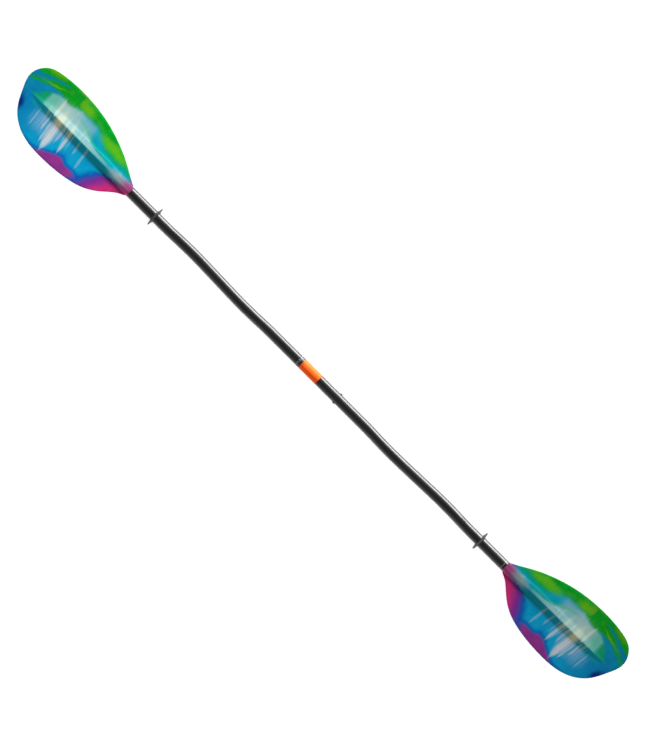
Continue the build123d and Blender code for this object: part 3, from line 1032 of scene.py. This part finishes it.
def scale_marks():
    """Generic angle numbers on the scale ring, and the collar's index mark."""
    low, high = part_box("feather_scale_ring")
    proud = high.z + MARKS_PROUD
    for angle in NUMBER_DEGREES:
        points, faces = number_mesh(str(abs(angle)))
        name = f"scale_number_{'minus' if angle < 0 else 'plus'}_{abs(angle)}"
        x = low.x + NUMBER_X
        wrapped(name, points, faces, proud, x, math.radians(angle), "left_half", INK)
    # a triangle that points at the ring, in two rows of faces so that it follows the collar
    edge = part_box("center_collar")[0].x
    arrow = [(ARROW_HALF * t, ARROW_BACK) for t in (-1, -0.5, 0, 0.5, 1)]
    arrow += [(ARROW_HALF * t, ARROW_MIDDLE) for t in (-0.5, 0, 0.5)]
    arrow += [(0, ARROW_TIP)]
    faces = [(0, 5, 1), (1, 5, 6, 2), (2, 6, 7, 3), (3, 7, 4), (5, 8, 6), (6, 8, 7)]
    wrapped("collar_index", arrow, faces, proud, edge, 0.0, "coupler", PAD)


scale_marks()


# ------------------------------------------------------------- floor and lights

FLOOR_HALF = 9.0
WORLD_STRENGTH = 0.25


def stage():
    """Pale paper just under the paddle."""
    bottom = CAD_BOX[0][2]
    corners = [(-1, -1), (1, -1), (1, 1), (-1, 1)]
    mesh = bpy.data.meshes.new("floor")
    mesh.from_pydata([(FLOOR_HALF * x, FLOOR_HALF * y, bottom) for x, y in corners], [], [(0, 1, 2, 3)])
    floor = bpy.data.objects.new("floor", mesh)
    bpy.context.scene.collection.objects.link(floor)
    shade = Shade("floor_paper", roughness=0.9)
    grain = shade.noise(shade.place, 60.0, 3)
    shade.set("Base Color", shade.mix(grain, colour(246, 246, 246), colour(250, 250, 250)))
    set_material(floor, shade.material)
    return floor


def area_light(name, at, size, radiance, seen_in):
    """A soft box that faces the origin, for either diffuse or glossy light."""
    data = bpy.data.lights.new(name, "AREA")
    data.shape = "RECTANGLE"
    data.size, data.size_y = size
    data.energy = radiance * math.pi * size[0] * size[1]
    light = bpy.data.objects.new(name, data)
    light.location = at
    light.rotation_euler = (-Vector(at)).to_track_quat("-Z", "Y").to_euler()
    light.visible_glossy = seen_in == "glossy"
    light.visible_diffuse = seen_in == "diffuse"
    bpy.context.scene.collection.objects.link(light)
    return light


def light_only(light, objects, state):
    """Light linking: the light reaches only these objects, or everything but them."""
    group = bpy.data.collections.new(light.name + "_reach")
    for obj in objects:
        group.objects.link(obj)
    for entry in group.collection_objects:
        entry.light_linking.link_state = state
    light.light_linking.receiver_collection = group


def lights(floor):
    """Soft boxes from the +Y side and a dim one from the other, in a pale room."""
    world = bpy.data.worlds.new("studio")
    bpy.context.scene.world = world
    world.use_nodes = True
    background = world.node_tree.nodes["Background"]
    background.inputs[0].default_value = (1, 1, 1, 1)
    background.inputs[1].default_value = WORLD_STRENGTH
    collar = bpy.data.objects["center_collar"]
    made = {}
    # name, place, size, radiance, what it lights, and the objects it leaves out or is for
    for name, at, size, radiance, seen_in, state, objects in (
        ("side_strip", (0, 1.98, 0.46), (3.4, 1.35), 16.0, "glossy", "EXCLUDE", BLADE_SKINS),
        ("side_key", (-0.7, 1.75, 1.0), (1.8, 1.0), 11.0, "diffuse", "EXCLUDE", [floor]),
        ("collar_key", (0, 1.9, 0.62), (1.8, 1.0), 18.0, "diffuse", "INCLUDE", [collar]),
        ("upper_fill", (0, 1.55, 1.25), (3.4, 1.1), 1.2, "glossy", "EXCLUDE", BLADE_SKINS),
        ("far_fill", (0, -1.9, 0.7), (3.4, 1.2), 0.3, "glossy", "EXCLUDE", BLADE_SKINS),
        ("floor_wash", (0, 0, 4.0), (6.0, 6.0), 2.65, "diffuse", "INCLUDE", [floor]),
    ):
        made[name] = area_light(name, at, size, radiance, seen_in)
        light_only(made[name], objects, state)
    # nothing but the floor itself shades the wash, so the paper stays plain
    no_shadow = bpy.data.collections.new("floor_wash_shadows")
    no_shadow.objects.link(floor)
    made["floor_wash"].light_linking.blocker_collection = no_shadow


# The camera's angles in degrees, and its picture's height and centre as shares of the
# paddle's length or of that height
CAMERA_LEAN = 8
CAMERA_YAW = 0.9
CAMERA_TURN = 44.815
PICTURE_HEIGHT = 0.8993
AIM_RIGHT = 0.0103
AIM_UP = 0.0048
AIM_ALONG = -0.0016
LENS = 100
SENSOR = 36


def camera():
    """Looks down on the power faces, with the shaft on the picture's diagonal.

    The left blade is slightly nearer than the right one.
    """
    low, high = CAD_BOX
    length = high[0] - low[0]
    lean, yaw, turn = (math.radians(a) for a in (CAMERA_LEAN, CAMERA_YAW, CAMERA_TURN))
    along = Vector((math.cos(yaw), 0, math.sin(yaw)))
    across = Vector((0, math.cos(lean), math.sin(lean)))
    back = along.cross(across).normalized()
    across = back.cross(along)
    right = along * math.cos(turn) + across * math.sin(turn)
    up = across * math.cos(turn) - along * math.sin(turn)
    height = length * PICTURE_HEIGHT
    data = bpy.data.cameras.new("camera")
    data.lens = LENS
    data.sensor_width = SENSOR
    distance = height * LENS / SENSOR
    aim = (right * AIM_RIGHT + up * AIM_UP) * height + along * AIM_ALONG * length
    cam = bpy.data.objects.new("camera", data)
    turned = Matrix((right, up, back)).transposed().to_4x4()
    cam.matrix_world = Matrix.Translation(aim + back * distance) @ turned
    bpy.context.scene.collection.objects.link(cam)
    bpy.context.scene.camera = cam


lights(stage())
camera()
bpy.context.scene.view_settings.view_transform = "Standard"
